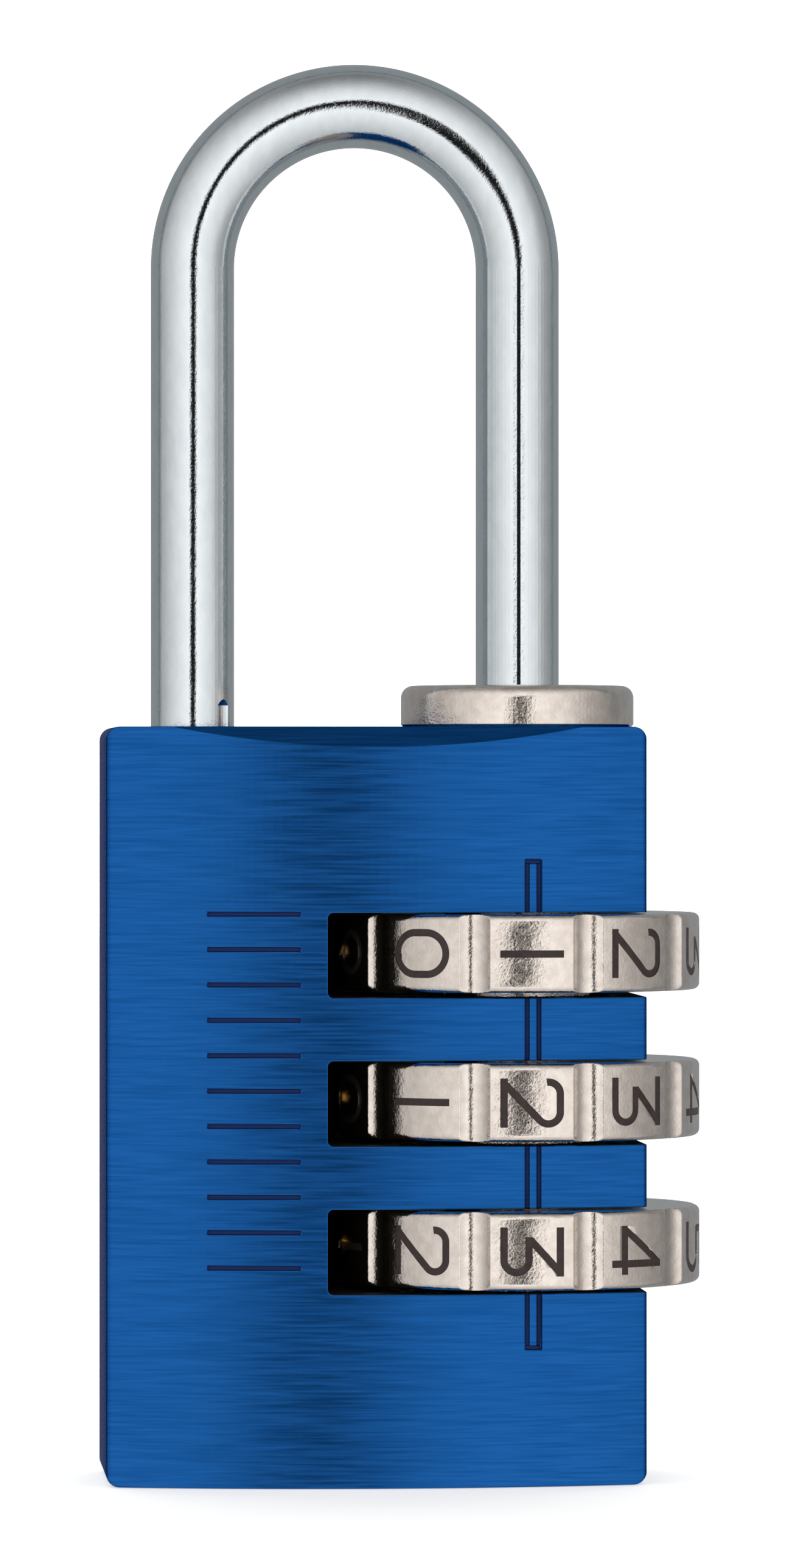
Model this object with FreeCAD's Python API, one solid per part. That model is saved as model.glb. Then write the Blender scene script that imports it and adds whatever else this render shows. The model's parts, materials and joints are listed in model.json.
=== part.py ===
import FreeCAD, Part
import math
import os

# Resettable three-dial combination padlock, millimetres.
# Origin: centre of the body's flat bottom face. +Z up, front faces -Y, dials stand out past the right side (+X).

# driving dimensions
body_width = 20.0
body_height = 28.0
body_depth_middle = 10.4
body_depth_side = 7.8
body_corner_radius = 0.5
body_edge_radius = 0.22
top_chamfer = 0.76
engraving_depth = 0.12

wire_radius = 1.56
long_leg_x = 5.5
short_leg_x = -6.65
bow_centre_z = 45.1
toe_depth = 4.3
lift = 5.45

dial_pitch = 5.45
dial_count = 3
top_slot_z = 19.58
slot_height = 3.12
slot_end_x = -1.89
slot_step_y = 2.2
slot_clearance = 0.2
dial_radius = 6.81
dial_height = 2.86
dial_rise = 0.08
rim_radius = 0.25
numerals_per_dial = 10
flute_width = 1.22
flute_depth = 0.28
stroke_width = 0.27
stroke_depth = 0.14
opening_code = (1, 2, 3)

main_bore_radius = 3.4
main_bore_floor = 1.8
sleeve_radius = 2.75
sleeve_chamber_radius = 1.66
sleeve_gap = 0.05
web_thickness = 0.9
tooth_radius = 3.3
tooth_width = 0.7
reset_travel = 1.0
neck_radius = 1.0
lug_width = 1.4
running_clearance = 0.06

ball_radius = 0.75
ball_gap = 0.03
pocket_end_x = -5.4

# heights measured from a dial's own middle
web_top = 2.5
tooth_low = 0.48
tooth_high = 1.38
lug_low = -1.6
lug_high = 0.5

vec = FreeCAD.Vector
turn = 360.0 / numerals_per_dial
dial_heights = [top_slot_z + dial_rise - dial_pitch * n for n in range(dial_count)]
sleeve_length = dial_pitch - sleeve_gap
# under the lowest web by the lift and the reset travel together
foot_top = dial_heights[-1] + web_top - web_thickness - lift - reset_travel - 0.03
foot_thickness = 0.97


def rod(radius, low, high, x=long_leg_x, y=0.0):
    """Upright cylinder between two heights."""
    return Part.makeCylinder(radius, high - low, vec(x, y, low))


def ring(outer, inner, low, high):
    """Upright tube on the long leg's axis."""
    return rod(outer, low, high).cut(rod(inner, low - 1.0, high + 1.0))


def block(low, high):
    """Box between two corners."""
    return Part.makeBox(high[0] - low[0], high[1] - low[1], high[2] - low[2], vec(*low))


def spokes(count, outer, width, low, high):
    """Radial bars from the long leg's axis out to a radius."""
    bars = []
    for n in range(count):
        bar = block((long_leg_x, -width / 2, low), (long_leg_x + outer * 1.5, width / 2, high))
        bar.rotate(vec(long_leg_x, 0, 0), vec(0, 0, 1), n * 360.0 / count)
        bars.append(bar)
    return Part.makeCompound(bars).common(rod(outer, low, high))


def spring(mean_radius, wire, length, turns):
    """Open coil spring standing on z = 0 at the origin, built of half turns tilted one way and then the other."""
    half_rise = (length - wire) / (2 * turns)
    halves = []
    for n in range(2 * turns):
        side = 1 if n % 2 == 0 else -1
        start = vec(side * mean_radius, 0, wire / 2 + n * half_rise)
        middle = vec(0, 0, start.z + half_rise / 2)
        section = Part.Face(Part.Wire(Part.makeCircle(wire / 2, start, vec(0, 1, 0))))
        halves.append(section.revolve(middle, vec(side * half_rise / 2, 0, mean_radius), 180))
    return halves[0].fuse(halves[1:]).removeSplitter()


def save(name, shape):
    shape.exportStep("parts/" + name + ".step")


# ---- body ----

def body_plan(inset):
    """Plan of the body: bowed front and back, straight sides; inset moves the bowed faces inwards."""
    half = body_width / 2
    side = body_depth_side / 2 - inset
    middle = body_depth_middle / 2 - inset
    front = Part.Arc(vec(-half, -side, 0), vec(0, -middle, 0), vec(half, -side, 0)).toShape()
    right = Part.makeLine(vec(half, -side, 0), vec(half, side, 0))
    back = Part.Arc(vec(half, side, 0), vec(0, middle, 0), vec(-half, side, 0)).toShape()
    left = Part.makeLine(vec(-half, side, 0), vec(-half, -side, 0))
    outline = Part.Face(Part.Wire([front, right, back, left]))
    return outline.extrude(vec(0, 0, body_height))


def rounded_front():
    """Front outline with its four round corners, pushed through the depth."""
    half = body_width / 2
    slab = block((-half, -body_depth_middle, 0), (half, body_depth_middle, body_height))
    corners = [e for e in slab.Edges if abs(e.tangentAt(e.FirstParameter).y) > 0.99]
    return slab.makeFillet(body_corner_radius, corners)


def top_chamfers():
    """Wedges that take off the front and back top edges at 45 degrees."""
    reach = 3.0
    edge = body_depth_middle / 2 - top_chamfer
    wedges = []
    for side in (-1, 1):
        inner = vec(-body_width, side * (edge - 1.0), body_height + 1.0)
        outer = vec(-body_width, side * (edge + reach), body_height + 1.0)
        low = vec(-body_width, side * (edge + reach), body_height - reach)
        face = Part.Face(Part.makePolygon([inner, outer, low, inner]))
        wedges.append(face.extrude(vec(2 * body_width, 0, 0)))
    return wedges


def dial_slot(middle):
    """Slot through the body, open at the right side; behind the step it follows the dial round."""
    low, high = middle - slot_height / 2, middle + slot_height / 2
    front = block((slot_end_x, -body_width / 2, low), (body_width, slot_step_y, high))
    ends = [e for e in front.Edges
            if abs(e.tangentAt(e.FirstParameter).y) > 0.99 and e.CenterOfMass.x < slot_end_x + 0.1]
    back = rod(dial_radius + slot_clearance, low, high)
    side = block((long_leg_x, 0, low), (body_width, body_width / 2, high))
    return front.makeFillet(0.2, ends).fuse([back, side])


def index_mark():
    """Engraved outline of a narrow upright bar over the dials' reading line."""
    middle, half, line = 5.7, 0.295, 0.15
    low, high = 5.05, 23.1
    outer = block((middle - half, -body_width, low), (middle + half, 0, high))
    inner = block((middle - half + line, -body_width, low + line), (middle + half - line, 0, high - line))
    return outer.cut(inner)


def rungs():
    """Plain engraved rungs on the broad left part of the front face."""
    count, pitch, middle_z, line = 11, 1.3, 14.6, 0.16
    left, right = -6.3, -2.9
    bars = []
    for n in range(count):
        z = middle_z + (n - (count - 1) / 2) * pitch
        bars.append(block((left, -body_width, z - line / 2), (right, 0, z + line / 2)))
    return bars


def lock_body():
    body = body_plan(0.0)
    upright = [e for e in body.Edges if abs(e.tangentAt(e.FirstParameter).z) > 0.99]
    body = body.makeFillet(body_edge_radius, upright).common(rounded_front())
    engraving = Part.makeCompound([index_mark()] + rungs()).cut(body_plan(engraving_depth))
    cuts = top_chamfers()
    cuts.append(engraving)
    cuts.append(rod(main_bore_radius, main_bore_floor, body_height + 1.0))
    toe_hole_radius = wire_radius + 0.08
    cuts.append(rod(toe_hole_radius, body_height - toe_depth - 0.5, body_height + 1.0, short_leg_x))
    for middle in dial_heights:
        cuts.append(dial_slot(middle - dial_rise))
        pocket_length = slot_end_x + 0.5 - pocket_end_x
        cuts.append(Part.makeCylinder(ball_radius + 0.05, pocket_length, vec(pocket_end_x, 0, middle), vec(1, 0, 0)))
    for cut in cuts:
        body = body.cut(cut)
    return body


def top_collar():
    """Flanged bush that guides the long leg, pressed into the main bore."""
    flange_radius, flange_height, stem_low = 4.35, 1.55, 22.3
    top = body_height + flange_height
    flange = rod(flange_radius, body_height, top)
    rims = [e for e in flange.Edges if e.CenterOfMass.z > top - 0.01 and e.Length > 1.0]
    flange = flange.makeFillet(0.45, rims)
    bottom = [e for e in flange.Edges if abs(e.CenterOfMass.z - body_height) < 0.01 and e.Length > 10.0]
    flange = flange.makeChamfer(0.1, bottom)
    collar = flange.fuse(rod(main_bore_radius, stem_low, body_height)).removeSplitter()
    guide = rod(wire_radius + running_clearance, stem_low - 1.0, top + 1.0)
    countersink = Part.makeCone(wire_radius + running_clearance, wire_radius + 0.4, 0.2, vec(long_leg_x, 0, top - 0.15))
    return collar.cut(guide).cut(countersink)


# ---- shackle ----

def leg_groove(toe):
    """Shallow groove up the short leg from its toe, on the side that faces forwards and inwards."""
    cutter_radius, depth, point = 0.45, 0.13, 0.8
    reach = (wire_radius - depth + cutter_radius) * math.sqrt(0.5)
    top = body_height + 0.8
    groove = rod(cutter_radius, toe - 1.0, top, short_leg_x + reach, -reach)
    tip = Part.makeCone(cutter_radius, 0.0, point, vec(short_leg_x + reach, -reach, top))
    return groove.fuse(tip)


def shackle():
    """Round wire bent to a U; the long leg is milled to a neck with one side lug for each dial."""
    middle_x = (long_leg_x + short_leg_x) / 2
    neck_top = 22.4
    toe = body_height - toe_depth
    short_leg = rod(wire_radius, toe, bow_centre_z, short_leg_x)
    tip = [e for e in short_leg.Edges if e.CenterOfMass.z < toe + 0.01]
    short_leg = short_leg.makeChamfer(0.35, tip)
    short_leg = short_leg.cut(leg_groove(toe))
    long_leg = rod(wire_radius, neck_top, bow_centre_z)
    section = Part.Face(Part.Wire(Part.makeCircle(wire_radius, vec(long_leg_x, 0, bow_centre_z))))
    bow = section.revolve(vec(middle_x, 0, bow_centre_z), vec(0, -1, 0), 180)
    neck_low = foot_top - foot_thickness + 0.03
    whole = short_leg.fuse(bow).fuse(long_leg).fuse(rod(neck_radius, neck_low, neck_top))
    for middle in dial_heights:
        half = lug_width / 2
        reach = block((long_leg_x, -half, middle + lug_low), (long_leg_x + 3, half, middle + lug_high))
        whole = whole.fuse(reach.common(rod(wire_radius, 0, neck_top)))
    return whole.removeSplitter()


def spindle_foot():
    """Round foot riveted on the end of the long leg: it can't pass the lowest sleeve's web, so the leg stays in."""
    foot = rod(wire_radius, foot_top - foot_thickness, foot_top)
    return foot.cut(rod(neck_radius, foot_top - foot_thickness - 1.0, foot_top + 1.0))


# ---- dials ----

def glyph_bar(x0, y0, x1, y1):
    """Straight stroke with square ends, standing on the XY plane."""
    half = stroke_width / 2
    bar = block((0, -half, 0), (math.hypot(x1 - x0, y1 - y0), half, 2))
    bar.rotate(vec(0, 0, 0), vec(0, 0, 1), math.degrees(math.atan2(y1 - y0, x1 - x0)))
    bar.translate(vec(x0, y0, 0))
    return bar


def glyph_disc(radius, start, stop):
    """Sector of a disc with a finely faceted rim."""
    steps = round((stop - start) / 7.5)
    angles = [math.radians(start + (stop - start) * n / steps) for n in range(steps + 1)]
    rim = [vec(radius * math.cos(a), radius * math.sin(a), 0) for a in angles]
    if stop - start < 360:
        rim = [vec(0, 0, 0)] + rim + [vec(0, 0, 0)]
    return Part.Face(Part.makePolygon(rim)).extrude(vec(0, 0, 2))


def glyph_arc(x, y, radius, start, stop):
    """Curved stroke from one angle to another, anticlockwise."""
    half = stroke_width / 2
    arc = glyph_disc(radius + half, start, stop).cut(glyph_disc(radius - half, 0, 360))
    arc.translate(vec(x, y, 0))
    return arc


def numeral(digit):
    """One numeral, 1.8 wide and 2.3 high, centred on the origin; six turned over is nine."""
    top, edge = 1.15, 0.9
    high, wide = top - stroke_width / 2, edge - stroke_width / 2
    if digit == 0:
        parts = [glyph_arc(0, 0.25, wide, 0, 180), glyph_arc(0, -0.25, wide, 180, 360),
                 glyph_bar(wide, -0.25, wide, 0.25), glyph_bar(-wide, -0.25, -wide, 0.25)]
    elif digit == 1:
        parts = [glyph_bar(0, -top, 0, top)]
    elif digit == 2:
        parts = [glyph_arc(-0.33, 0.58, 0.435, 90, 187.5), glyph_bar(-0.34, high, 0.34, high),
                 glyph_arc(0.33, 0.58, 0.435, -52.5, 90), glyph_bar(0.62, 0.26, -0.72, -high),
                 glyph_bar(-edge, -high, edge, -high)]
    elif digit == 3:
        parts = [glyph_bar(-edge, high, edge, high), glyph_bar(0.76, high, -0.48, -0.1),
                 glyph_bar(-0.55, -0.12, 0.31, -0.12), glyph_arc(0.3, -0.5675, 0.4475, -90, 90),
                 glyph_bar(-edge, -high, 0.31, -high)]
    elif digit == 4:
        parts = [glyph_bar(0.5, -top, 0.5, top), glyph_bar(0.48, high, -0.78, -0.6),
                 glyph_bar(-edge, -0.6, edge, -0.6)]
    elif digit == 5:
        parts = [glyph_bar(-0.7, high, wide, high), glyph_bar(-0.6, high, -0.6, 0.1),
                 glyph_bar(-0.7, 0.12, 0.31, 0.12), glyph_arc(0.3, -0.4475, 0.5675, -90, 90),
                 glyph_bar(-edge, -high, 0.31, -high)]
    elif digit in (6, 9):
        parts = [glyph_arc(0, -0.31, 0.705, 0, 360), glyph_arc(0.73, -0.3, 1.435, 120, 180)]
    elif digit == 7:
        parts = [glyph_bar(-edge, high, edge, high), glyph_bar(0.7, high, -0.2, -top)]
    else:
        parts = [glyph_arc(0, 0.53, 0.485, 0, 360), glyph_arc(0, -0.45, 0.565, 0, 360)]
    shape = parts[0].fuse(parts[1:]).removeSplitter() if len(parts) > 1 else parts[0]
    if digit == 9:
        shape.rotate(vec(0, 0, 0), vec(0, 0, 1), 180)
    return shape


def numeral_prisms():
    """Ten numerals round the dial, each lying on its side, with 0 at the front."""
    prisms = []
    for digit in range(numerals_per_dial):
        shape = numeral(digit)
        # lay the numeral on its side, then stand it up facing the front
        shape.rotate(vec(0, 0, 0), vec(0, 0, 1), -90)
        shape.rotate(vec(0, 0, 0), vec(1, 0, 0), 90)
        shape.translate(vec(0, 1.0 - dial_radius, 0))
        shape.rotate(vec(0, 0, 0), vec(0, 0, 1), turn * digit)
        prisms.append(shape)
    return prisms


def dial_blank():
    """Knurled wheel with rounded rims, ten flutes and a clutch bore, centred on the origin."""
    half = dial_height / 2
    notch_floor = 0.43
    blank = Part.makeCylinder(dial_radius, dial_height, vec(0, 0, -half))
    rims = [e for e in blank.Edges if e.Length > 2 * dial_radius]
    blank = blank.makeFillet(rim_radius, rims)
    cutter_radius = ((flute_width / 2) ** 2 + flute_depth ** 2) / (2 * flute_depth)
    cutter_reach = dial_radius - flute_depth + cutter_radius
    cuts = [Part.makeCylinder(sleeve_radius + running_clearance, dial_height + 2, vec(0, 0, -half - 1)),
            Part.makeCylinder(tooth_radius + 0.15, half + notch_floor, vec(0, 0, -half))]
    for n in range(numerals_per_dial):
        angle = math.radians(turn * n)
        at = vec(cutter_reach * math.cos(angle), cutter_reach * math.sin(angle), -half - 1)
        cuts.append(Part.makeCylinder(cutter_radius, dial_height + 2, at))
    notches = spokes(numerals_per_dial, tooth_radius + 0.08, tooth_width + 0.14, 0.0, half + 1.0)
    notches.translate(vec(-long_leg_x, 0, 0))
    cuts.append(notches)
    for cut in cuts:
        blank = blank.cut(cut)
    return blank


def dial_and_numerals():
    """A dial with ten sunk numerals, and the enamel that fills them, 0 at the front."""
    prisms = numeral_prisms()
    floor = Part.makeCylinder(dial_radius - stroke_depth, dial_height, vec(0, 0, -dial_height / 2))
    level = Part.makeCylinder(dial_radius - 0.03, dial_height, vec(0, 0, -dial_height / 2))
    dial = dial_blank()
    fills = []
    for prism in prisms:
        recess = prism.cut(floor)
        dial = dial.cut(recess)
        fills.append(recess.common(level))
    return dial, Part.makeCompound(fills)


def placed_on_axis(shape, middle, numeral_at_front):
    """Copy turned so that the given numeral is at the front, moved to its place."""
    copy = shape.copy()
    copy.rotate(vec(0, 0, 0), vec(0, 0, 1), -turn * numeral_at_front)
    copy.translate(vec(long_leg_x, 0, middle))
    return copy


def sleeve(middle, numeral_at_front):
    """Code sleeve: a barrel whose web has one gate for the shackle's lug, and teeth that key it to its dial."""
    top = middle + web_top
    low = top - sleeve_length
    barrel = rod(sleeve_radius, low, top)
    teeth = spokes(numerals_per_dial, tooth_radius, tooth_width, middle + tooth_low, middle + tooth_high)
    chamber = rod(sleeve_chamber_radius, low - 1.0, top - web_thickness)
    throat = rod(neck_radius + 0.08, low, top + 1.0)
    gate_half = lug_width / 2 + 0.1
    gate = block((long_leg_x, -gate_half, low), (long_leg_x + 3, gate_half, top + 1.0))
    gate = gate.common(rod(sleeve_chamber_radius, low, top + 1.0))
    return barrel.fuse(teeth).removeSplitter().cut(chamber).cut(throat).cut(gate)


# ---- springs and balls ----

def click_ball(middle):
    reach = dial_radius + ball_gap + ball_radius
    return Part.makeSphere(ball_radius, vec(long_leg_x - reach, 0, middle))


def click_spring(middle):
    """Coil behind the click ball, from the pocket's end to the ball."""
    ball_back = long_leg_x - dial_radius - ball_gap - 2 * ball_radius
    length = ball_back - 0.05 - pocket_end_x
    coil = spring(0.5, 0.16, length, 6)
    coil.rotate(vec(0, 0, 0), vec(0, 1, 0), 90)
    coil.translate(vec(pocket_end_x, 0, middle))
    return coil


def reset_parts():
    """Thrust washer under the lowest sleeve, and the spring below it."""
    thickness = 0.4
    washer_top = dial_heights[-1] + web_top - sleeve_length - 0.02
    washer = ring(3.25, 1.72, washer_top - thickness, washer_top)
    coil = spring(2.5, 0.35, washer_top - thickness - main_bore_floor, 4)
    coil.translate(vec(long_leg_x, 0, main_bore_floor))
    return washer, coil


os.makedirs("parts", exist_ok=True)
save("lock_body", lock_body())
save("top_collar", top_collar())
save("shackle", shackle())
save("spindle_foot", spindle_foot())
dial, numerals = dial_and_numerals()
for number, (height, front) in enumerate(zip(dial_heights, opening_code), start=1):
    save(f"dial_{number}", placed_on_axis(dial, height, front))
    save(f"numerals_{number}", placed_on_axis(numerals, height, front))
    save(f"code_sleeve_{number}", sleeve(height, front))
    save(f"click_ball_{number}", click_ball(height))
    save(f"click_spring_{number}", click_spring(height))
washer, reset_coil = reset_parts()
save("thrust_washer", washer)
save("reset_spring", reset_coil)
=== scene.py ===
import bmesh
import bpy
import json
import math
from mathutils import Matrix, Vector


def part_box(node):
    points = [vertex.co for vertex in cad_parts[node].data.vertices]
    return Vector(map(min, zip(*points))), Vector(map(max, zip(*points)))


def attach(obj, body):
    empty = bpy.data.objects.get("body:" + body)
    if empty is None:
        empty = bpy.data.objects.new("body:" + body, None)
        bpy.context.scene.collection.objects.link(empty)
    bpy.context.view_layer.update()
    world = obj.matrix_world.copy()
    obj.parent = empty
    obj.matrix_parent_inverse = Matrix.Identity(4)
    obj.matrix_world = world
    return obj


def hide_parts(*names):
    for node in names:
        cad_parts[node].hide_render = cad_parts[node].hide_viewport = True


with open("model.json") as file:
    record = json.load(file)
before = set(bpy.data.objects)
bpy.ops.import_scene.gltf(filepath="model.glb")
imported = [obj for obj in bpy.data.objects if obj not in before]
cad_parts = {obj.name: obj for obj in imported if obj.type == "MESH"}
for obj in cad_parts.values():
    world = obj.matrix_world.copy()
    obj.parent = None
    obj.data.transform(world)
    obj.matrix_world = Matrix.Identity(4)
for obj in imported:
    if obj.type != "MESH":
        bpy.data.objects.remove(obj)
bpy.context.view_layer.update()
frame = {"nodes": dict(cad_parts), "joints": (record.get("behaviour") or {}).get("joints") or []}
mm = 0.001


# ---- small helpers ----

def addNode(tree, kind, inputs=None, **settings):
    node = tree.nodes.new(kind)
    for key, value in settings.items():
        setattr(node, key, value)
    for socket, value in (inputs or {}).items():
        if isinstance(value, bpy.types.NodeSocket):
            tree.links.new(value, node.inputs[socket])
        else:
            node.inputs[socket].default_value = value
    return node


def hexColour(code):
    # sRGB hex to the linear colour that the shaders want
    parts = [int(code[i:i + 2], 16) / 255 for i in (0, 2, 4)]
    return tuple(c / 12.92 if c <= 0.04045 else ((c + 0.055) / 1.055) ** 2.4 for c in parts) + (1.0,)


def meshObject(name, verts, faces, material=None):
    mesh = bpy.data.meshes.new(name)
    mesh.from_pydata([tuple(v) for v in verts], [], faces)
    mesh.update()
    piece = bpy.data.objects.new(name, mesh)
    bpy.context.scene.collection.objects.link(piece)
    if material:
        mesh.materials.append(material)
    return piece


def bake(piece):
    # turns the piece with its modifiers into one plain mesh
    bpy.context.view_layer.update()
    evaluated = piece.evaluated_get(bpy.context.evaluated_depsgraph_get())
    mesh = bpy.data.meshes.new_from_object(evaluated)
    if piece.type == "MESH":
        piece.modifiers.clear()
        piece.data = mesh
        return piece
    made = bpy.data.objects.new(piece.name + "_mesh", mesh)
    bpy.context.scene.collection.objects.link(made)
    bpy.data.objects.remove(piece)
    return made


def combine(piece, tool, operation="DIFFERENCE"):
    # cuts one piece with another, and throws the cutter away
    cut = piece.modifiers.new("cut", "BOOLEAN")
    cut.operation = operation
    cut.solver = "EXACT"
    cut.material_mode = "TRANSFER"
    cut.object = tool
    bake(piece)
    bpy.data.objects.remove(tool)
    return piece


def softEdges(piece, width, angle, segments=2):
    # rounds the edges that are sharper than the angle; width in mm
    bevel = piece.modifiers.new("edges", "BEVEL")
    bevel.width = width * mm
    bevel.segments = segments
    bevel.limit_method = "ANGLE"
    bevel.angle_limit = math.radians(angle)
    bevel.use_clamp_overlap = False
    bevel.miter_outer = "MITER_ARC"
    return bake(piece)


def shadeSmooth(piece, angle):
    # smooth across shallow edges; faces that meet a sharp edge keep their own flat shading
    mesh = piece.data
    mesh.polygons.foreach_set("use_smooth", [True] * len(mesh.polygons))
    mesh.set_sharp_from_angle(angle=math.radians(angle))
    sharp = mesh.attributes["sharp_edge"].data
    rims = {v for edge in mesh.edges if sharp[edge.index].value for v in edge.vertices}
    for face in mesh.polygons:
        if not rims.isdisjoint(face.vertices):
            face.use_smooth = False
    return piece


def outwards(piece):
    # joins doubled points and turns every face outwards
    bm = bmesh.new()
    bm.from_mesh(piece.data)
    bmesh.ops.remove_doubles(bm, verts=bm.verts, dist=0.0005 * mm)
    bmesh.ops.recalc_face_normals(bm, faces=bm.faces)
    bm.to_mesh(piece.data)
    bm.free()
    return piece


def prism(name, outline, low, high, axis="Z", material=None):
    # outline points in mm, pushed from low to high along an axis
    def place(u, v, w):
        return {"X": (w, u, v), "Y": (u, w, v), "Z": (u, v, w)}[axis]
    count = len(outline)
    verts = [Vector(place(u, v, w)) * mm for w in (low, high) for u, v in outline]
    sides = [(i, (i + 1) % count, count + (i + 1) % count, count + i) for i in range(count)]
    faces = sides + [tuple(range(count - 1, -1, -1)), tuple(range(count, 2 * count))]
    return outwards(meshObject(name, verts, faces, material))


def arc(x, y, radius, start, stop, steps):
    # points on an arc in mm, angles in degrees
    angles = [math.radians(start + (stop - start) * i / steps) for i in range(steps + 1)]
    return [(x + radius * math.cos(a), y + radius * math.sin(a)) for a in angles]


def ringFaces(here, there, count):
    # faces between two rings of points, each given by its first point's number
    return [(here + j, there + j, there + (j + 1) % count, here + (j + 1) % count) for j in range(count)]


def lathe(name, profile, x, steps, material):
    # closed profile of (radius, height) in mm, turned about an upright axis at x
    count = len(profile)
    verts = []
    for i in range(steps):
        a = 2 * math.pi * i / steps
        verts += [Vector((x + r * math.cos(a), r * math.sin(a), z)) * mm for r, z in profile]
    faces = []
    for i in range(steps):
        faces += ringFaces(i * count, (i + 1) % steps * count, count)
    return outwards(meshObject(name, verts, faces, material))


def finishPiece(piece, name, body, slot, *nodes):
    piece.name = name
    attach(piece, body)
    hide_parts(*nodes)
    return piece


# ---- materials ----

def newMaterial(name, settings):
    made = bpy.data.materials.new(name)
    made.use_nodes = True
    tree = made.node_tree
    shader = tree.nodes["Principled BSDF"]
    for socket, value in settings.items():
        shader.inputs[socket].default_value = value
    return made, tree, shader


def grainTexture(tree, grain, detail, rough=0.5):
    # noise on the piece's own coordinates; grain gives the grain's size in mm along X, Y and Z
    place = addNode(tree, "ShaderNodeTexCoord")
    sized = addNode(tree, "ShaderNodeMapping", {"Vector": place.outputs["Object"],
                                                "Scale": tuple(1 / (g * mm) for g in grain)})
    noise = addNode(tree, "ShaderNodeTexNoise", {"Vector": sized.outputs["Vector"], "Scale": 1.0,
                                                 "Detail": detail, "Roughness": rough})
    return noise.outputs["Fac"]


def dress(tree, shader, share, shades, grain, edges, roughness):
    # colour between two shades by the share; roughness between two levels as the grain crosses its edges
    dark, light = [hexColour(code) for code in shades]
    colour = addNode(tree, "ShaderNodeMix", {"Factor": share, 6: dark, 7: light}, data_type="RGBA")
    tree.links.new(colour.outputs[2], shader.inputs["Base Color"])
    rough = addNode(tree, "ShaderNodeMapRange", {"Value": grain, "From Min": edges[0], "From Max": edges[1],
                                                 "To Min": roughness[0], "To Max": roughness[1]})
    tree.links.new(rough.outputs["Result"], shader.inputs["Roughness"])


def emboss(tree, shader, height, strength, depth):
    # bump with its depth in mm
    bump = addNode(tree, "ShaderNodeBump", {"Height": height, "Strength": strength, "Distance": depth * mm})
    tree.links.new(bump.outputs["Normal"], shader.inputs["Normal"])


brushedAnodise = {
    "shades": ("155193", "1f62ac"),
    "edgeColour": "3f6cb4",
    "grain": (2.6, 1.2, 0.085),     # scratches along X, one every 0.085 mm
    "broadGrain": (9.0, 4.0, 0.4),
    "broadShare": 0.2,
    "detail": 2.0,
    "shadeEdges": (0.4, 0.8),
    "grainEdges": (0.3, 0.7),
    "roughness": (0.25, 0.33),
    "bump": 0.12,
    "bumpDepth": 0.02,
}


def brushedBlueAnodise():
    # aluminium brushed across, then dyed and anodised: fine level scratches under a deep blue satin sheen
    s = brushedAnodise
    settings = {"Metallic": 1.0, "Specular Tint": hexColour(s["edgeColour"])}
    made, tree, shader = newMaterial("brushedBlueAnodise", settings)
    fine = grainTexture(tree, s["grain"], s["detail"])
    broad = grainTexture(tree, s["broadGrain"], s["detail"])
    low, high = s["shadeEdges"]
    mixed = addNode(tree, "ShaderNodeMath", {0: broad, 1: s["broadShare"], 2: fine},
                    operation="MULTIPLY_ADD")
    share = addNode(tree, "ShaderNodeMapRange", {"Value": mixed.outputs[0],
                                                 "From Min": low, "From Max": high})
    dress(tree, shader, share.outputs["Result"], s["shades"], fine, s["grainEdges"], s["roughness"])
    emboss(tree, shader, fine, s["bump"], s["bumpDepth"])
    return made


plateSizes = {
    "pitDetail": 3.0,
    "pitRough": 0.6,
    "waveDetail": 2.0,
    "edges": (0.35, 0.65),
    "depth": 0.012,
}


def platedMetal(name, shades, roughness, pit, wave, bump):
    # bright plate over a casting or wire: a mirror broken up by fine pits and slow waves, sizes in mm
    s = plateSizes
    made, tree, shader = newMaterial(name, {"Metallic": 1.0})
    pits = grainTexture(tree, pit, s["pitDetail"], s["pitRough"])
    waves = grainTexture(tree, wave, s["waveDetail"])
    low, high = s["edges"]
    share = addNode(tree, "ShaderNodeMapRange", {"Value": waves, "From Min": low, "From Max": high})
    dress(tree, shader, share.outputs["Result"], shades, pits, s["edges"], roughness)
    height = addNode(tree, "ShaderNodeMath", {0: pits, 1: waves}, operation="ADD")
    emboss(tree, shader, height.outputs[0], bump, s["depth"])
    return made


plainGrain = {"detail": 3.0, "edges": (0.3, 0.7)}


def grained(name, settings, grain, shades, roughness):
    # plain surface whose colour and roughness drift together over a grain in mm
    made, tree, shader = newMaterial(name, settings)
    drift = grainTexture(tree, grain, plainGrain["detail"])
    dress(tree, shader, drift, shades, drift, plainGrain["edges"], roughness)
    return made


anodise = brushedBlueAnodise()
# the cutter goes through the blue skin; the groove's floor is painted shade, a darker blue standing for the
# shade inside the narrow engraved grooves, with a duller finish
groove = grained("engravedBluePaintedShade", {"Metallic": 0.6}, (0.4, 0.4, 0.4), ("071a44", "0d2f70"), (0.45, 0.6))
# inside of the slots, the bores and the pockets: painted shade, a nearly black colour standing for the shade
# inside these recesses, that gives little light back
paintedRecessShade = grained("recessWallPaintedShade", {"Metallic": 0.2, "Specular IOR Level": 0.15}, (0.25, 2.0, 0.12),
                   ("12120c", "26241c"), (0.6, 0.8))
# nickel over zinc: warm grey-white, cast skin under the plate
nickel = platedMetal("nickelPlatedZinc", ("ddd1c7", "e9dfd6"), (0.05, 0.12), (0.09, 0.09, 0.09),
                     (0.4, 0.4, 0.4), 0.75)
# chrome over drawn wire: cool and bright, with faint marks along the wire
chrome = platedMetal("chromedWire", ("d8dee1", "dfe4e6"), (0.03, 0.07), (0.08, 0.08, 0.08),
                     (0.4, 0.4, 0.8), 0.30)
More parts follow.
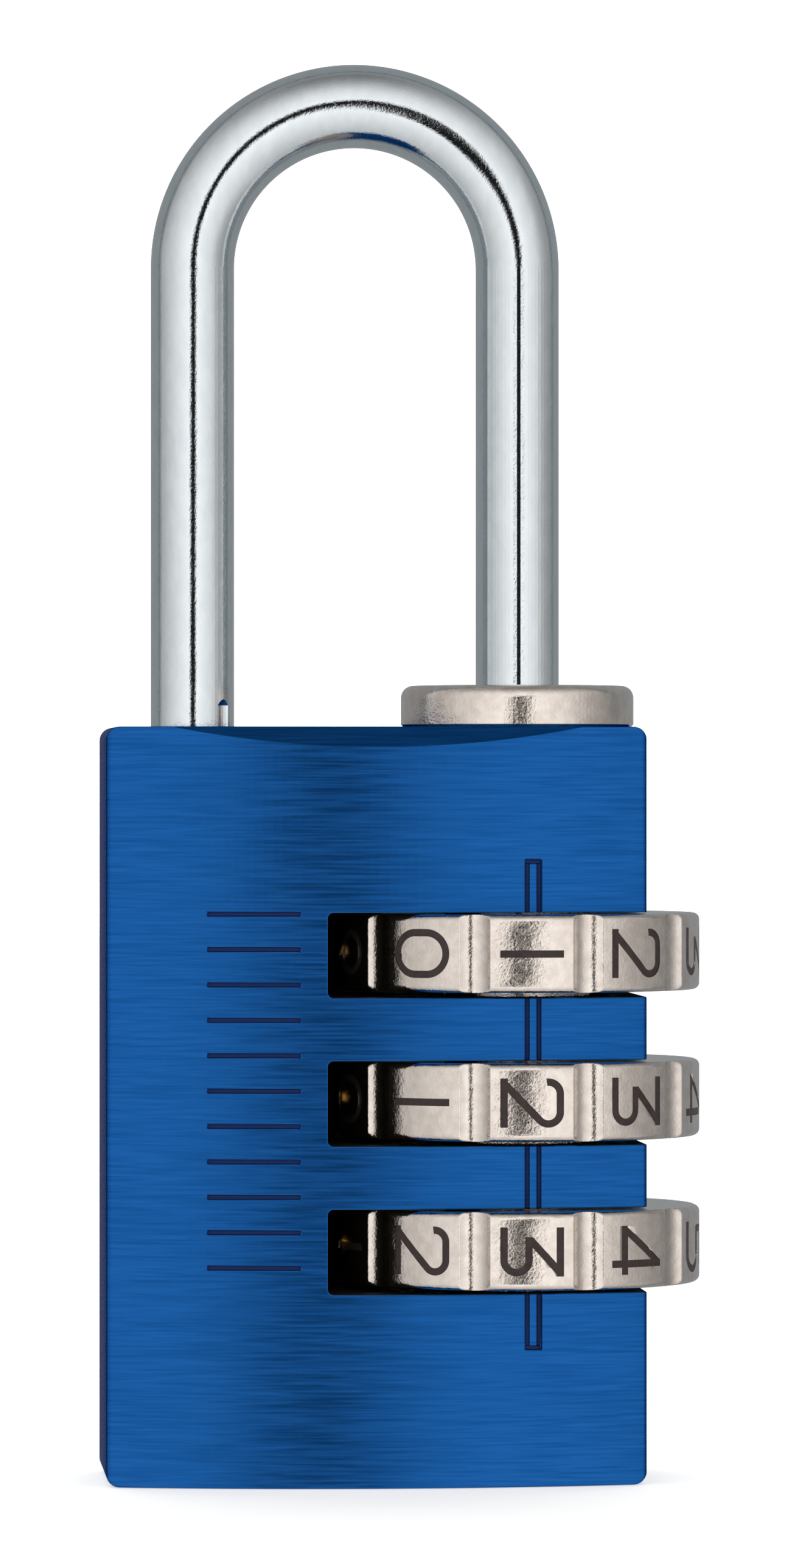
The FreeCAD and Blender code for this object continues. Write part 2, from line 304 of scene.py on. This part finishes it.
# turned brass: yellow, with fine rings from the tool
brass = platedMetal("turnedBrass", ("b98539", "d8a457"), (0.15, 0.28), (0.2, 0.2, 0.05), (0.8, 0.8, 0.8), 0.2)
# drawn spring steel: plain grey, half bright
springWire = platedMetal("brightSpringSteel", ("9b9fa4", "b9bcc0"), (0.2, 0.32), (0.1, 0.1, 0.1),
                         (0.6, 0.6, 0.6), 0.2)
# black-brown enamel wiped into the numerals: half gloss, slightly uneven
enamel = grained("wipedEnamel", {"Metallic": 0.0, "IOR": 1.5, "Specular IOR Level": 0.2}, (0.25, 0.25, 0.25),
                 ("2c2323", "453a38"), (0.3, 0.5))
print("materials made")


# ---- case ----

caseLow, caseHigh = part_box("lock_body")
dialAxisX = frame["joints"][1]["pos_m"][0] / mm
dialMiddles = [j["pos_m"][2] / mm for j in frame["joints"] if j.get("continuous")]

caseSizes = {
    "halfWidth": caseHigh.x / mm,
    "height": caseHigh.z / mm,
    "halfDepth": caseHigh.y / mm,
    "sideHalfDepth": 3.9,
    "uprightEdge": 0.22,
    "corner": 0.5,
    "chamfer": 0.76,
    "slotHeight": 3.12,
    "slotLeft": -1.89,
    "slotStep": 2.2,
    "slotBackRadius": 7.01,
    "slotDrop": 0.08,          # the slot's middle lies this far under the dial's
    "boreRadius": 3.4,
    "boreFloor": 1.8,
    "toeHoleX": -6.65,
    "toeHoleRadius": 1.64,
    "toeHoleFloor": 23.2,
    "toeHoleSides": 64,
    "pocketRadius": 0.8,
    "pocketEnd": -5.4,
    "engraving": 0.12,
    "edge": 0.045,
    "edgeAngle": 50,           # degrees; flatter edges stay as they are
    "bowSteps": 56,
    "uprightSteps": 6,
    "cornerSteps": 10,
    "slotCorner": 0.2,
    "slotCornerSteps": 5,
    "pocketSteps": 32,
    "pocketLap": 0.5,
    "over": 1,                 # cutters reach this far past the top
    "chamferReach": 3,
    "outX": 12,                # cutters reach out to here, past the body's sides
    "outY": 9,                 # and to here, past its front and back
}


def bowRadius():
    s = caseSizes
    rise = s["halfDepth"] - s["sideHalfDepth"]
    return (s["halfWidth"] ** 2 + rise ** 2) / (2 * rise)


def bowDepth(x):
    # how far the bowed face stands from the middle plane at x
    radius = bowRadius()
    return math.sqrt(radius ** 2 - x ** 2) - radius + caseSizes["halfDepth"]


def casePlan():
    # bowed front and back, straight sides, rounded upright edges
    s = caseSizes
    radius, edge = bowRadius(), s["uprightEdge"]
    centreY = radius - s["halfDepth"]
    cornerX = s["halfWidth"] - edge
    cornerY = centreY - math.sqrt((radius - edge) ** 2 - cornerX ** 2)
    lean = math.degrees(math.atan2(cornerY - centreY, cornerX))
    left = arc(-cornerX, cornerY, edge, -180, -180 - lean, s["uprightSteps"])
    front = arc(0, centreY, radius, -180 - lean, lean, s["bowSteps"])[1:-1]
    right = arc(cornerX, cornerY, edge, lean, 0, s["uprightSteps"])
    half = left + front + right
    return half + [(-x, -y) for x, y in half]


def curvedBar(x0, x1, z0, z1, depth, steps):
    # cutter whose inner face follows the bowed front at a depth
    verts, faces = [], []
    for i in range(steps + 1):
        x = x0 + (x1 - x0) * i / steps
        inner = -bowDepth(x) + depth
        outer = -caseSizes["halfDepth"] - caseSizes["over"]
        verts += [Vector((x, y, z)) * mm for y, z in ((outer, z0), (inner, z0), (inner, z1), (outer, z1))]
    for i in range(steps):
        a = 4 * i
        faces += [(a + j, a + (j + 1) % 4, a + 4 + (j + 1) % 4, a + 4 + j) for j in range(4)]
    faces += [(0, 1, 2, 3), tuple(4 * steps + j for j in (3, 2, 1, 0))]
    return verts, faces


rungSizes = {
    "left": -6.3,
    "right": -2.9,
    "middle": 14.6,
    "line": 0.16,
    "pitch": 1.3,
    "count": 11,
    "steps": 12,
}


def rungCutters():
    # one curved bar repeated up the face by Geometry Nodes
    s = rungSizes
    line, depth = s["line"], caseSizes["engraving"]
    verts, faces = curvedBar(s["left"], s["right"], -line / 2, line / 2, depth, s["steps"])
    bar = outwards(meshObject("rungBar", verts, faces))
    tree = bpy.data.node_groups.new("rungRow", "GeometryNodeTree")
    face = tree.interface
    face.new_socket("Geometry", in_out="INPUT", socket_type="NodeSocketGeometry")
    face.new_socket("Geometry", in_out="OUTPUT", socket_type="NodeSocketGeometry")
    count = face.new_socket("Rungs", in_out="INPUT", socket_type="NodeSocketInt")
    pitch = face.new_socket("Pitch", in_out="INPUT", socket_type="NodeSocketFloat")
    first = face.new_socket("Lowest", in_out="INPUT", socket_type="NodeSocketFloat")
    given = addNode(tree, "NodeGroupInput")
    rise = addNode(tree, "ShaderNodeCombineXYZ", {"Z": given.outputs["Pitch"]})
    start = addNode(tree, "ShaderNodeCombineXYZ", {"Z": given.outputs["Lowest"]})
    row = addNode(tree, "GeometryNodeMeshLine", {"Count": given.outputs["Rungs"], "Offset": rise.outputs[0],
                                                 "Start Location": start.outputs[0]})
    bars = addNode(tree, "GeometryNodeInstanceOnPoints", {"Points": row.outputs["Mesh"],
                                                          "Instance": given.outputs["Geometry"]})
    real = addNode(tree, "GeometryNodeRealizeInstances", {"Geometry": bars.outputs["Instances"]})
    # the rungs' cut faces take the groove material's painted shade
    painted = addNode(tree, "GeometryNodeSetMaterial", {"Geometry": real.outputs["Geometry"],
                                                        "Material": groove})
    addNode(tree, "NodeGroupOutput", {"Geometry": painted.outputs["Geometry"]})
    rows = bar.modifiers.new("rungRow", "NODES")
    rows.node_group = tree
    rows[count.identifier] = s["count"]
    rows[pitch.identifier] = s["pitch"] * mm
    rows[first.identifier] = (s["middle"] - (s["count"] - 1) / 2 * s["pitch"]) * mm
    return bake(bar)


indexMark = {"middle": 5.7, "half": 0.295, "line": 0.15, "low": 5.05, "high": 23.1, "steps": 2}


def indexCutters():
    # outline of a narrow upright bar, made of two uprights and two short ends
    s = indexMark
    left, right = s["middle"] - s["half"], s["middle"] + s["half"]
    spans = [(left, left + s["line"], s["low"], s["high"]), (right - s["line"], right, s["low"], s["high"]),
             (left, right, s["low"], s["low"] + s["line"]), (left, right, s["high"] - s["line"], s["high"])]
    cutters = []
    for span in spans:
        verts, faces = curvedBar(*span, caseSizes["engraving"], s["steps"])
        # the index lines' cut faces take the groove material's painted shade
        cutters.append(outwards(meshObject("indexLine", verts, faces, groove)))
    return cutters


def roundBar(name, x, radius, low, high, material, steps=96):
    return prism(name, arc(x, 0, radius, 0, 360, steps)[:-1], low, high, material=material)


def roundFront(case):
    # rounds the four corners that the front view shows
    s = caseSizes
    half, height, corner = s["halfWidth"], s["height"], s["corner"]
    outline = []
    for x, z, start in ((half - corner, height - corner, 0), (corner - half, height - corner, 90),
                        (corner - half, corner, 180), (half - corner, corner, 270)):
        outline += arc(x, z, corner, start, start + 90, s["cornerSteps"])
    combine(case, prism("roundedFront", outline, -s["outY"], s["outY"], "Y", anodise), "INTERSECT")


def cutChamfers(case):
    # 45 degree cuts along the top, front and back; the bowed faces give them their lens shape
    s = caseSizes
    height, over, reach = s["height"], s["over"], s["chamferReach"]
    inner = s["halfDepth"] - s["chamfer"]
    for side in (-1, 1):
        wedge = [(side * (inner - over), height + over), (side * (inner + reach), height + over),
                 (side * (inner + reach), height - reach)]
        combine(case, prism("chamfer", wedge, -s["outX"], s["outX"], "X", anodise))


def cutSlot(case, middle):
    # open at the right side; behind the step it follows the dial round
    s = caseSizes
    low = middle - s["slotDrop"] - s["slotHeight"] / 2
    high = low + s["slotHeight"]
    turn, steps = s["slotCorner"], s["slotCornerSteps"]
    slot = [(s["outX"], low), (s["outX"], high)]
    slot += arc(s["slotLeft"] + turn, high - turn, turn, 90, 180, steps)
    slot += arc(s["slotLeft"] + turn, low + turn, turn, 180, 270, steps)
    # the slot's walls take the nearly black painted shade of the recesses
    combine(case, prism("slot", slot, -s["outY"], s["slotStep"], "Y", paintedRecessShade))
    combine(case, roundBar("slotBack", dialAxisX, s["slotBackRadius"], low, high, paintedRecessShade))
    side = [(dialAxisX, 0), (s["outX"], 0), (s["outX"], s["outY"]), (dialAxisX, s["outY"])]
    combine(case, prism("slotSide", side, low, high, "Z", paintedRecessShade))


def cutBores(case):
    # the bore for the sleeves, the hole for the toe, and a pocket beside each dial
    s = caseSizes
    top = s["height"] + s["over"]
    # the bore, the toe hole and the pockets take the same nearly black painted shade
    combine(case, roundBar("bore", dialAxisX, s["boreRadius"], s["boreFloor"], top, paintedRecessShade))
    combine(case, roundBar("toeHole", s["toeHoleX"], s["toeHoleRadius"], s["toeHoleFloor"], top, paintedRecessShade,
                           s["toeHoleSides"]))
    for middle in dialMiddles:
        ring = arc(0, middle, s["pocketRadius"], 0, 360, s["pocketSteps"])[:-1]
        combine(case, prism("pocket", ring, s["pocketEnd"], s["slotLeft"] + s["pocketLap"], "X", paintedRecessShade))


def makeCase():
    s = caseSizes
    case = prism("case", casePlan(), 0, s["height"], material=anodise)
    roundFront(case)
    cutChamfers(case)
    for middle in dialMiddles:
        cutSlot(case, middle)
    cutBores(case)
    for cutter in indexCutters() + [rungCutters()]:
        combine(case, cutter)
    softEdges(case, s["edge"], s["edgeAngle"])
    shadeSmooth(case, 28)
    return finishPiece(case, "caseBrushedBlue", "case", "anodised_aluminium", "lock_body")


case = makeCase()
print("case made", len(case.data.polygons))


# ---- collar ----

collarSizes = {
    "radius": 4.35,
    "height": 1.55,
    "round": 0.45,
    "under": 0.1,
    "bore": 1.62,
    "leadIn": (0.25, 0.2),     # width and depth of the bore's lead-in
    "stem": 3.4,
    "stemLow": 22.3,
    "stemChamfer": 0.1,
    "steps": 160,
}


def makeCollar():
    s = collarSizes
    base = caseSizes["height"]
    top = base + s["height"]
    chamfer, (wide, deep) = s["stemChamfer"], s["leadIn"]
    profile = [(s["bore"], s["stemLow"]), (s["stem"] - chamfer, s["stemLow"]),
               (s["stem"], s["stemLow"] + chamfer), (s["stem"], base), (s["radius"] - s["under"], base),
               (s["radius"], base + s["under"])]
    profile += arc(s["radius"] - s["round"], top - s["round"], s["round"], 0, 90, 10)
    profile += [(s["bore"] + wide, top), (s["bore"], top - deep)]
    collar = lathe("collar", profile, dialAxisX, s["steps"], nickel)
    shadeSmooth(collar, 35)
    return finishPiece(collar, "collarNickel", "case", "nickel_plate", "top_collar")


makeCollar()
print("collar made")


# ---- shackle ----

shackleLow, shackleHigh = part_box("shackle")
shackleSizes = {
    "wire": shackleHigh.y / mm,
    "left": -6.65,
    "right": dialAxisX,
    "bowTop": shackleHigh.z / mm,
    "toe": 23.7,
    "toeChamfer": 0.35,
    "neckTop": 22.4,
    "neckLow": 2.94,
    "neck": 1.0,
    "lugHalf": 0.7,
    "lugLow": -1.6,
    "lugHigh": 0.5,
    "lugSteps": 10,
    "bowSteps": 96,
    "sides": 72,
    "neckSides": 48,
    "neckLap": 0.2,
}
latchSizes = {"radius": 0.45, "depth": 0.13, "above": 0.8, "point": 0.8, "under": 1, "sides": 24}


def shackleTube():
    # the bent wire: Geometry Nodes sweep a circle along the path of two legs and a half-round bow
    s = shackleSizes
    bow = (s["right"] - s["left"]) / 2
    centre, middleZ = (s["right"] + s["left"]) / 2, s["bowTop"] - bow - s["wire"]
    toeTip = (s["left"], s["toe"], 1 - s["toeChamfer"] / s["wire"])
    route = [toeTip, (s["left"], s["toe"] + s["toeChamfer"], 1.0)]
    route += [(x, z, 1.0) for x, z in arc(centre, middleZ, bow, 180, 0, s["bowSteps"])]
    route += [(s["right"], s["neckTop"], 1.0)]
    line = bpy.data.curves.new("shackleLine", "CURVE")
    line.dimensions = "3D"
    spline = line.splines.new("POLY")
    spline.points.add(len(route) - 1)
    for point, (x, z, share) in zip(spline.points, route):
        point.co = (x * mm, 0, z * mm, 1)
        point.radius = share
    path = bpy.data.objects.new("shackleLine", line)
    bpy.context.scene.collection.objects.link(path)
    tree = bpy.data.node_groups.new("bentWire", "GeometryNodeTree")
    face = tree.interface
    face.new_socket("Geometry", in_out="INPUT", socket_type="NodeSocketGeometry")
    face.new_socket("Geometry", in_out="OUTPUT", socket_type="NodeSocketGeometry")
    radius = face.new_socket("Wire radius", in_out="INPUT", socket_type="NodeSocketFloat")
    sides = face.new_socket("Sides", in_out="INPUT", socket_type="NodeSocketInt")
    given = addNode(tree, "NodeGroupInput")
    ring = addNode(tree, "GeometryNodeCurvePrimitiveCircle", {"Resolution": given.outputs["Sides"],
                                                              "Radius": given.outputs["Wire radius"]})
    swept = addNode(tree, "GeometryNodeCurveToMesh", {"Curve": given.outputs["Geometry"], "Fill Caps": True,
                                                      "Profile Curve": ring.outputs["Curve"]})
    real = addNode(tree, "GeometryNodeRealizeInstances", {"Geometry": swept.outputs["Mesh"]})
    painted = addNode(tree, "GeometryNodeSetMaterial", {"Geometry": real.outputs["Geometry"],
                                                        "Material": chrome})
    addNode(tree, "NodeGroupOutput", {"Geometry": painted.outputs["Geometry"]})
    wire = path.modifiers.new("bentWire", "NODES")
    wire.node_group = tree
    wire[radius.identifier] = s["wire"] * mm
    wire[sides.identifier] = s["sides"]
    return outwards(bake(path))


def latchGroove():
    # shallow round groove up the short leg, on its front right, that ends in a point
    s, wire = latchSizes, shackleSizes
    reach = (wire["wire"] - s["depth"] + s["radius"]) * math.sqrt(0.5)
    middle = wire["left"] + reach
    ring = arc(middle, -reach, s["radius"], 0, 360, s["sides"])[:-1]
    low, high = wire["toe"] - s["under"], caseSizes["height"] + s["above"]
    count = len(ring)
    verts = [Vector((x, y, z)) * mm for z in (low, high) for x, y in ring]
    verts.append(Vector((middle, -reach, high + s["point"])) * mm)
    faces = [(i, (i + 1) % count, count + (i + 1) % count, count + i) for i in range(count)]
    faces += [(count + i, count + (i + 1) % count, 2 * count) for i in range(count)]
    faces.append(tuple(range(count)))
    return outwards(meshObject("latchGroove", verts, faces, chrome))


def lugOutline():
    # the part of the leg's circle that each lug keeps
    s = shackleSizes
    lean = math.degrees(math.asin(s["lugHalf"] / s["wire"]))
    rim = arc(s["right"], 0, s["wire"], -lean, lean, s["lugSteps"])
    return rim + [(s["right"], s["lugHalf"]), (s["right"], -s["lugHalf"])]


def makeShackle():
    s = shackleSizes
    shackle = shackleTube()
    combine(shackle, latchGroove())
    neckTop = s["neckTop"] + s["neckLap"]
    neck = roundBar("neck", s["right"], s["neck"], s["neckLow"], neckTop, chrome, s["neckSides"])
    combine(shackle, neck, "UNION")
    for middle in dialMiddles:
        low, high = middle + s["lugLow"], middle + s["lugHigh"]
        combine(shackle, prism("lug", lugOutline(), low, high, material=chrome), "UNION")
    shadeSmooth(shackle, 30)
    return finishPiece(shackle, "shackleChromed", "shackle", "chromed_steel", "shackle")


makeShackle()
print("shackle made")


# ---- dials ----

dialSizes = {
    "radius": 6.81,
    "height": 2.86,
    "rim": 0.25,
    "faces": 10,
    "fluteWidth": 1.22,
    "fluteDepth": 0.28,
    "blend": 0.02,             # softness of the edge between a face and a flute
    "bore": 2.81,
    "keyway": 3.38,
    "keywayHalf": 7.8,         # degrees
    "keywayTaper": 0.25,       # degrees
    "lowerBore": 3.45,
    "shoulder": 0.43,
    "rimSteps": 6,
    "bandSteps": 4,
    "faceSteps": 15,
    "beyond": 99.0,            # stands for a direction that misses the flute
}


def fluteReach(turned):
    # distance from the axis to the flute's surface, at an angle in degrees from the flute's middle
    s = dialSizes
    radius = ((s["fluteWidth"] / 2) ** 2 + s["fluteDepth"] ** 2) / (2 * s["fluteDepth"])
    centre = s["radius"] - s["fluteDepth"] + radius
    a = math.radians(turned)
    under = radius ** 2 - (centre * math.sin(a)) ** 2
    return centre * math.cos(a) - math.sqrt(under) if under > 0 else s["beyond"]


def softLower(a, b, width):
    # the lower of two numbers, eased where they cross
    share = max(width - abs(a - b), 0) / width
    return min(a, b) - share * share * width / 4


def dialAngles():
    # angles over one pitch, measured from a flute's middle, closer together at the edges
    s = dialSizes
    edge = math.degrees(math.asin(s["fluteWidth"] / 2 / s["radius"]))
    pitch = 360 / s["faces"]
    inFlute = (-0.9, -0.75, -0.5, -0.25, 0, 0.25, 0.5, 0.75, 0.9)
    atEdge = (0.97, 1.0, 1.03, 1.1, 1.25)
    keyway, taper, count = s["keywayHalf"], s["keywayTaper"], s["faceSteps"]
    first, last = keyway + taper, pitch - keyway - taper
    steps = [edge * t for t in inFlute + atEdge] + [keyway, first]
    steps += [first + (last - first) * i / (count - 1) for i in range(1, count)]
    steps += [pitch - keyway]
    steps += [pitch - edge * t for t in reversed(atEdge)]
    return steps


def dialHeights():
    # heights over the dial's middle, closer together where the rims are rounded
    s = dialSizes
    half, rim = s["height"] / 2, s["rim"]
    turns = [90 * i / s["rimSteps"] for i in range(s["rimSteps"] + 1)]
    heights = [-half + rim - rim * math.cos(math.radians(a)) for a in turns]
    heights += [(-half + rim) * (1 - t / s["bandSteps"]) for t in range(1, s["bandSteps"])]
    heights = heights + [0.0] + [-h for h in heights]
    return sorted(set(round(h, 6) for h in heights))


def dialMesh(middle):
    s = dialSizes
    half, rim, heights = s["height"] / 2, s["rim"], dialHeights()
    pitch = 360 / s["faces"]
    verts = []
    angles = [(n * pitch, a) for n in range(s["faces"]) for a in dialAngles()]
    for start, turn in angles:
        fromFlute = turn if turn < pitch / 2 else turn - pitch
        flute = fluteReach(fromFlute)
        bore = s["keyway"] if abs(fromFlute) <= s["keywayHalf"] else s["bore"]
        profile = []
        for z in heights:
            into = max(abs(z) - (half - rim), 0)
            crest = s["radius"] - rim + math.sqrt(max(rim ** 2 - into ** 2, 0))
            profile.append((softLower(crest, flute, s["blend"]), z))
        profile += [(bore, half), (bore, s["shoulder"])]
        profile += [(s["lowerBore"], s["shoulder"]), (s["lowerBore"], -half)]
        a = math.radians(start + turn)
        verts += [Vector((dialAxisX + r * math.cos(a), r * math.sin(a), middle + z)) * mm for r, z in profile]
    loop = len(profile)
    faces = []
    for i in range(len(angles)):
        faces += ringFaces(i * loop, (i + 1) % len(angles) * loop, loop)
    return outwards(meshObject("dial", verts, faces, nickel))


cutterSizes = {"join": 0.001, "skin": 0.06, "over": 0.5}


def numeralCutter(number):
    # the enamel's own outline, pushed out past the face, sinks each numeral
    source = frame["nodes"][f"numerals_{number}"]
    tool = bpy.data.objects.new("numeralCutter", source.data.copy())
    bpy.context.scene.collection.objects.link(tool)
    bm = bmesh.new()
    bm.from_mesh(tool.data)
    bmesh.ops.remove_doubles(bm, verts=bm.verts, dist=cutterSizes["join"] * mm)
    level = dialSizes["radius"] - cutterSizes["skin"]
    for v in bm.verts:
        out = Vector((v.co.x / mm - dialAxisX, v.co.y / mm))
        if out.length > level:
            grown = out.normalized() * (dialSizes["radius"] + cutterSizes["over"])
            v.co.x, v.co.y = (dialAxisX + grown.x) * mm, grown.y * mm
    bmesh.ops.recalc_face_normals(bm, faces=bm.faces)
    bm.to_mesh(tool.data)
    bm.free()
    tool.data.materials.clear()
    tool.data.materials.append(nickel)
    return tool


for number, middle in enumerate(dialMiddles, start=1):
    dial = combine(dialMesh(middle), numeralCutter(number))
    shadeSmooth(dial, 32)
    finishPiece(dial, f"dial{number}Nickel", f"dial_{number}", "nickel_plate", f"dial_{number}")
    print("dial", number, "made", len(dial.data.polygons))


# ---- pieces whose CAD shape is right already ----

finishes = {"numerals": enamel, "code_sleeve": nickel, "click_ball": brass, "click_spring": springWire,
            "spindle_foot": springWire, "thrust_washer": springWire, "reset_spring": springWire}
for name, node in frame["nodes"].items():
    for start, finish in finishes.items():
        if name.startswith(start):
            node.data.materials.clear()
            node.data.materials.append(finish)
print("inner pieces finished")


# ---- stage, lights and camera ----

def stagePlane(name, width, depth, material, place, turned=(0, 0, 0)):
    x, y = width / 2, depth / 2
    corners = [Vector(c) for c in ((-x, -y, 0), (x, -y, 0), (x, y, 0), (-x, y, 0))]
    plane = meshObject(name, corners, [(0, 1, 2, 3)], material)
    plane.rotation_euler = [math.radians(t) for t in turned]
    plane.location = place
    plane.visible_glossy = False


def paleStage(name, glow):
    made = newMaterial(name, {"Base Color": hexColour("f4f4f2"), "Roughness": 0.9,
                              "Emission Color": (1, 1, 1, 1), "Emission Strength": glow})[0]
    return made


stagePlane("floor", 4, 4, paleStage("paleFloor", 0.45), (0, 0.6, -0.02 * mm))
stagePlane("backdrop", 4, 3, paleStage("paleBackdrop", 0.85), (0, 1.2, 1.0), (90, 0, 0))

lightTent = {
    "bright": 1.32,          # straight ahead
    "beside": 0.52,          # at right angles to that
    "back": 0.32,
    "openingFrom": 95,       # degrees from straight ahead where the tent ends
    "openingTo": 102,
    "seam": 108,             # dark hem round the tent's opening
    "seamHalf": 3.0,
    "seamLevel": 0.45,
    "rightFrom": 0.75,       # share of the sideways direction where the right side starts to fall off
    "rightLevel": 0.7,
    "topFrom": 30,           # height in degrees where the tent's roof starts to darken
    "topTo": 88,
    "topLevel": 0.45,
    "slitMiddle": -1.5,      # dark slit that the lens looks through, in degrees round the lock
    "slitLean": 0.45,
    "slitHalf": 7.4,
    "slitReach": 13,
    "slitLevel": 0.01,
    "slitBlur": 0.5,
    "reachBlur": 1,
    "roomTint": (0.90, 0.96, 1.0, 1),
    "tentTint": (1.0, 1.0, 1.0, 1),
    "behindLevel": 0.95,     # what the camera itself sees past the backdrop
}


def tentSteps():
    # each step has a name, an operation, and numbers or the names of steps before it
    t = lightTent
    degrees = 180 / math.pi
    half, blur = t["slitHalf"], t["slitBlur"]
    reach, reachBlur = t["slitReach"], t["reachBlur"]
    return (
        # directions, in degrees
        ("ahead", "MULTIPLY", "y", -1.0),
        ("turned", "ARCTAN2", "x", "ahead"),
        ("around", "MULTIPLY", "turned", degrees),
        ("raised", "ARCSINE", "z"),
        ("up", "MULTIPLY", "raised", degrees),
        ("leant", "ARCCOSINE", "ahead"),
        ("offAxis", "MULTIPLY", "leant", degrees),
        # the tent, darker to the sides, to the right and in its roof, and the room behind
        ("tent", "SMOOTHSTEP", "offAxis", t["openingFrom"], t["openingTo"], 1, 0),
        ("room", "SUBTRACT", 1.0, "tent"),
        ("cloth", "LINEAR", "offAxis", 0, 90, t["bright"], t["beside"]),
        ("rightFall", "SMOOTHSTEP", "x", t["rightFrom"], 1.0, 1.0, t["rightLevel"]),
        ("topFall", "SMOOTHSTEP", "up", t["topFrom"], t["topTo"], 1, t["topLevel"]),
        ("sideways", "MULTIPLY", "cloth", "rightFall"),
        ("shaded", "MULTIPLY", "sideways", "topFall"),
        ("tentLight", "MULTIPLY", "tent", "shaded"),
        ("roomLight", "MULTIPLY", "room", t["back"]),
        ("both", "ADD", "tentLight", "roomLight"),
        # the hem
        ("pastSeam", "SUBTRACT", "offAxis", t["seam"]),
        ("fromSeam", "ABSOLUTE", "pastSeam"),
        ("seamFall", "SMOOTHSTEP", "fromSeam", 0, t["seamHalf"], t["seamLevel"], 1),
        ("hemmed", "MULTIPLY", "both", "seamFall"),
        # the slit
        ("slitAt", "MULTIPLY_ADD", "up", t["slitLean"], t["slitMiddle"]),
        ("pastSlit", "SUBTRACT", "around", "slitAt"),
        ("fromSlit", "ABSOLUTE", "pastSlit"),
        ("beside", "SMOOTHSTEP", "fromSlit", half - blur, half + blur, 0, 1),
        ("fromLevel", "ABSOLUTE", "up"),
        ("above", "SMOOTHSTEP", "fromLevel", reach - reachBlur, reach + reachBlur, 0, 1),
        ("outside", "MAXIMUM", "beside", "above"),
        ("slitFall", "SMOOTHSTEP", "outside", 0, 1, t["slitLevel"], 1),
        ("level", "MULTIPLY", "hemmed", "slitFall"),
    )


def studioWorld():
    # white tent round the front half, a dark slit for the lens, and a dim grey room behind
    t = lightTent
    world = bpy.data.worlds.new("lightTent")
    world.use_nodes = True
    tree = world.node_tree
    place = addNode(tree, "ShaderNodeNewGeometry")
    ray = addNode(tree, "ShaderNodeVectorMath", {0: place.outputs["Position"]}, operation="NORMALIZE")
    axes = addNode(tree, "ShaderNodeSeparateXYZ", {"Vector": ray.outputs[0]})
    known = {axis: axes.outputs[axis.upper()] for axis in ("x", "y", "z")}
    ranges = ("Value", "From Min", "From Max", "To Min", "To Max")
    for name, operation, *given in tentSteps():
        given = [known.get(value, value) for value in given]
        if operation in ("SMOOTHSTEP", "LINEAR"):
            step = addNode(tree, "ShaderNodeMapRange", dict(zip(ranges, given)), interpolation_type=operation)
        else:
            step = addNode(tree, "ShaderNodeMath", dict(enumerate(given)), operation=operation)
        known[name] = step.outputs[0]
    tint = addNode(tree, "ShaderNodeMix", {"Factor": known["tent"], 6: t["roomTint"], 7: t["tentTint"]},
                   data_type="RGBA")
    lit = addNode(tree, "ShaderNodeBackground", {"Color": tint.outputs[2], "Strength": known["level"]})
    plain = addNode(tree, "ShaderNodeBackground", {"Color": (1, 1, 1, 1), "Strength": t["behindLevel"]})
    seen = addNode(tree, "ShaderNodeLightPath")
    mixed = addNode(tree, "ShaderNodeMixShader", {0: seen.outputs["Is Camera Ray"], 1: lit.outputs[0],
                                                  2: plain.outputs[0]})
    tree.links.new(mixed.outputs[0], tree.nodes["World Output"].inputs["Surface"])
    return world


bpy.context.scene.world = studioWorld()
bpy.context.scene.view_settings.view_transform = "Standard"

# one broad lamp over the left shoulder, for the soft shadow on the floor
lampSizes = {"side": 0.9, "watts": 1.2, "place": (-0.45, -0.55, 0.75), "aim": (0, 0, 0.026)}


def makeLamp():
    s = lampSizes
    lamp = bpy.data.lights.new("softbox", "AREA")
    lamp.shape = "RECTANGLE"
    lamp.size, lamp.size_y = s["side"], s["side"]
    lamp.energy = s["watts"]
    softbox = bpy.data.objects.new("softbox", lamp)
    bpy.context.scene.collection.objects.link(softbox)
    softbox.location = s["place"]
    softbox.rotation_euler = (softbox.location - Vector(s["aim"])).to_track_quat("Z", "Y").to_euler()
    softbox.visible_camera = False
    softbox.visible_glossy = False


makeLamp()

# distances in mm; aside and height say where the camera aims
cameraSizes = {
    "azimuth": -3.85,
    "distance": 310,
    "aside": 0.827,
    "height": 25.88,
    "lens": 190.6,
    "sensor": 36,
    "clip": (0.01, 10),        # metres
}


def makeCamera():
    s = cameraSizes
    lensAngle = math.radians(s["azimuth"])
    cameraData = bpy.data.cameras.new("camera")
    cameraData.lens = s["lens"]
    cameraData.sensor_width = s["sensor"]
    cameraData.clip_start, cameraData.clip_end = s["clip"]
    camera = bpy.data.objects.new("camera", cameraData)
    bpy.context.scene.collection.objects.link(camera)
    toCamera = Vector((math.sin(lensAngle), -math.cos(lensAngle), 0))
    sideways = Vector((math.cos(lensAngle), math.sin(lensAngle), 0))
    target = sideways * s["aside"] * mm + Vector((0, 0, s["height"] * mm))
    camera.location = target + toCamera * s["distance"] * mm
    camera.rotation_euler = toCamera.to_track_quat("Z", "Y").to_euler()
    bpy.context.scene.camera = camera


makeCamera()
print("stage, lights and camera set")
